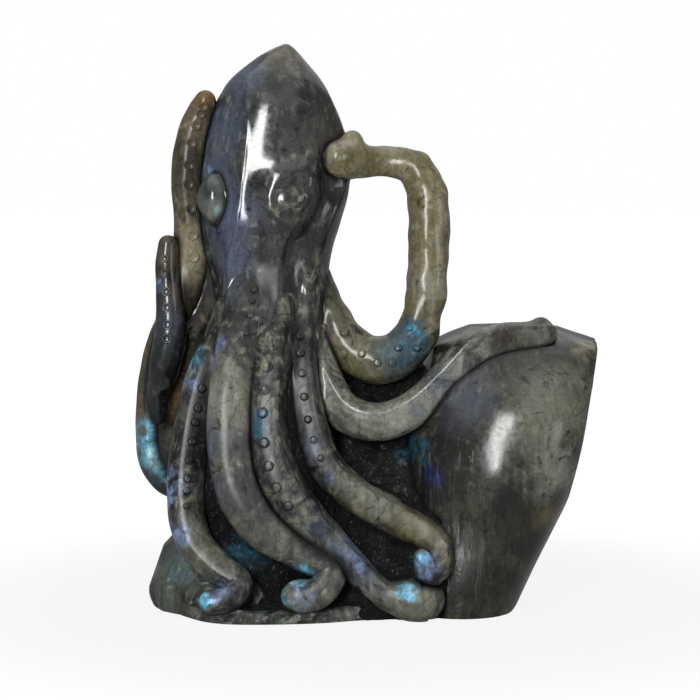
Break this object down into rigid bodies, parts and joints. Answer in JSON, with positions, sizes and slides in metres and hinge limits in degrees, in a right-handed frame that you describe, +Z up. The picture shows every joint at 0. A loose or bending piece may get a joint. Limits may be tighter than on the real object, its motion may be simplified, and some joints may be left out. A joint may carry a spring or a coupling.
{
  "type": "carved stone octopus figurine",
  "caption": "Polished labradorite octopus carved around a natural rock, with one arm looped beside its head, one lying over a boulder and the rest spread down to the base.",
  "frame": {"origin": "centre of the figure's box, on the plane that it stands on", "axes": "+X to the boulder's side, +Y from the front arms to the back, +Z up to the mantle's tip"},
  "size_m": [0.1504, 0.0794, 0.18],
  "materials": {
    "body_stone": "polished",
    "arm_stone": "polished",
    "boulder_stone": "polished",
    "rough_stone": "matte"
  },
  "bodies": {
    "root": {"mantle": "body_stone", "head": "body_stone", "left_eye": "body_stone", "right_eye": "body_stone", "arm_web": "body_stone", "side_web": "body_stone", "raised_left_arm": "arm_stone", "short_left_arm": "arm_stone", "front_left_arm": "arm_stone", "front_middle_arm": "arm_stone", "front_centre_arm": "arm_stone", "front_right_arm": "arm_stone", "boulder_arm": "arm_stone", "loop_arm": "arm_stone", "raised_left_arm_suckers": "arm_stone", "short_left_arm_suckers": "arm_stone", "front_left_arm_suckers": "arm_stone", "front_middle_arm_suckers": "arm_stone", "front_centre_arm_suckers": "arm_stone", "front_right_arm_suckers": "arm_stone", "loop_arm_suckers": "arm_stone", "boulder": "boulder_stone", "rock_plinth": "rough_stone", "rock_saddle": "rough_stone", "rock_heel": "rough_stone"}
  },
  "joints": []
}
